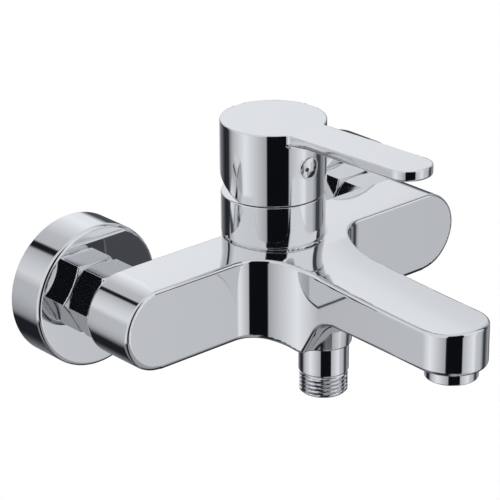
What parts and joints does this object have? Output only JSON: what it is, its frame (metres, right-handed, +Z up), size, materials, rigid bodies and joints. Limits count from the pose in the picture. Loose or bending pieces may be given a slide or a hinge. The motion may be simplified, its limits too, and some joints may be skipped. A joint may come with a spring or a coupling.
{
  "type": "wall mounted bath faucet",
  "caption": "Exposed chrome lever mixer for a bath: wall unions, a fixed spout with a pull-down diverter in its aerator, and a threaded outlet below for a shower hose.",
  "frame": {"origin": "on the wall face, midway between the two inlets and at their height", "axes": "+Y into the wall, so the spout stands out towards -Y; +X to the right-hand inlet of someone facing the wall; +Z up"},
  "size_m": [0.213, 0.182, 0.1179],
  "materials": {
    "polished_chrome": "mirror polished chrome plate",
    "raw_brass": "turned, unplated",
    "black_rubber": "matte moulded rubber",
    "ceramic": "lapped ceramic, smooth",
    "white_plastic": "moulded, matte",
    "grey_plastic": "moulded, matte",
    "red_plastic": "moulded, matte",
    "stainless_steel": "drawn or etched, bare"
  },
  "bodies": {
    "fixed_body": {"body_casting": "polished_chrome", "escutcheon_left": "polished_chrome", "escutcheon_right": "polished_chrome", "s_union_left": "raw_brass", "s_union_right": "raw_brass", "union_nut_left": "polished_chrome", "union_nut_right": "polished_chrome", "union_tail_left": "raw_brass", "union_tail_right": "raw_brass", "inlet_washer_left": "black_rubber", "inlet_washer_right": "black_rubber", "inlet_filter_left": "stainless_steel", "inlet_filter_right": "stainless_steel", "tail_o_rings": "black_rubber", "bonnet_sleeve": "polished_chrome", "sleeve_o_ring": "black_rubber", "cartridge_retaining_nut": "raw_brass", "cartridge_base": "white_plastic", "cartridge_base_seals": "black_rubber", "disc_seals": "black_rubber", "fixed_disc": "ceramic", "cartridge_housing": "white_plastic", "temperature_stop_ring": "red_plastic", "shower_nipple": "polished_chrome", "nipple_o_ring": "black_rubber", "check_valve_housing": "white_plastic", "spout_bush": "raw_brass", "bush_o_ring": "black_rubber", "diverter_spring": "stainless_steel", "check_valve_spring": "stainless_steel"},
    "rotor": {"cartridge_rotor": "white_plastic", "pivot_pin": "stainless_steel"},
    "lever": {"handle": "polished_chrome", "cartridge_stem": "raw_brass", "handle_set_screw": "stainless_steel", "index_plug": "polished_chrome"},
    "mixing_disc": {"disc_carrier": "grey_plastic", "moving_disc": "ceramic"},
    "diverter": {"aerator_housing": "polished_chrome", "diverter_valve": "raw_brass", "diverter_washer": "black_rubber", "diverter_circlip": "stainless_steel", "aerator_insert": "white_plastic", "aerator_screen": "stainless_steel", "aerator_washer": "black_rubber"},
    "check_poppet": {"check_valve_poppet": "red_plastic"}
  },
  "joints": [
    {"name": "temperature_turn", "type": "hinge", "parent": "fixed_body", "child": "rotor", "pos_m": [0, -0.046, 0.024], "axis": [0, 0, 1], "range_deg": [-50, 50]},
    {"name": "flow_lift", "type": "hinge", "parent": "rotor", "child": "lever", "pos_m": [0, -0.046, 0.024], "axis": [-1, 0, 0], "range_deg": [0, 25]},
    {"name": "disc_slide", "type": "slide", "parent": "rotor", "child": "mixing_disc", "axis": [0, -1, 0], "range_m": [0, 0.0047]},
    {"name": "diverter_pull", "type": "slide", "parent": "fixed_body", "child": "diverter", "axis": [0, 0, -1], "range_m": [0, 0.003], "stiffness_N_per_m": 300, "springref_m": -0.004, "deforming": ["diverter_spring"]},
    {"name": "check_valve", "type": "slide", "parent": "fixed_body", "child": "check_poppet", "axis": [0, 0, -1], "range_m": [0, 0.003], "stiffness_N_per_m": 60, "springref_m": -0.002, "deforming": ["check_valve_spring"]}
  ],
  "couplings": [
    {"joint": "disc_slide", "follows": "flow_lift", "m_per_rad": 0.0105}
  ]
}
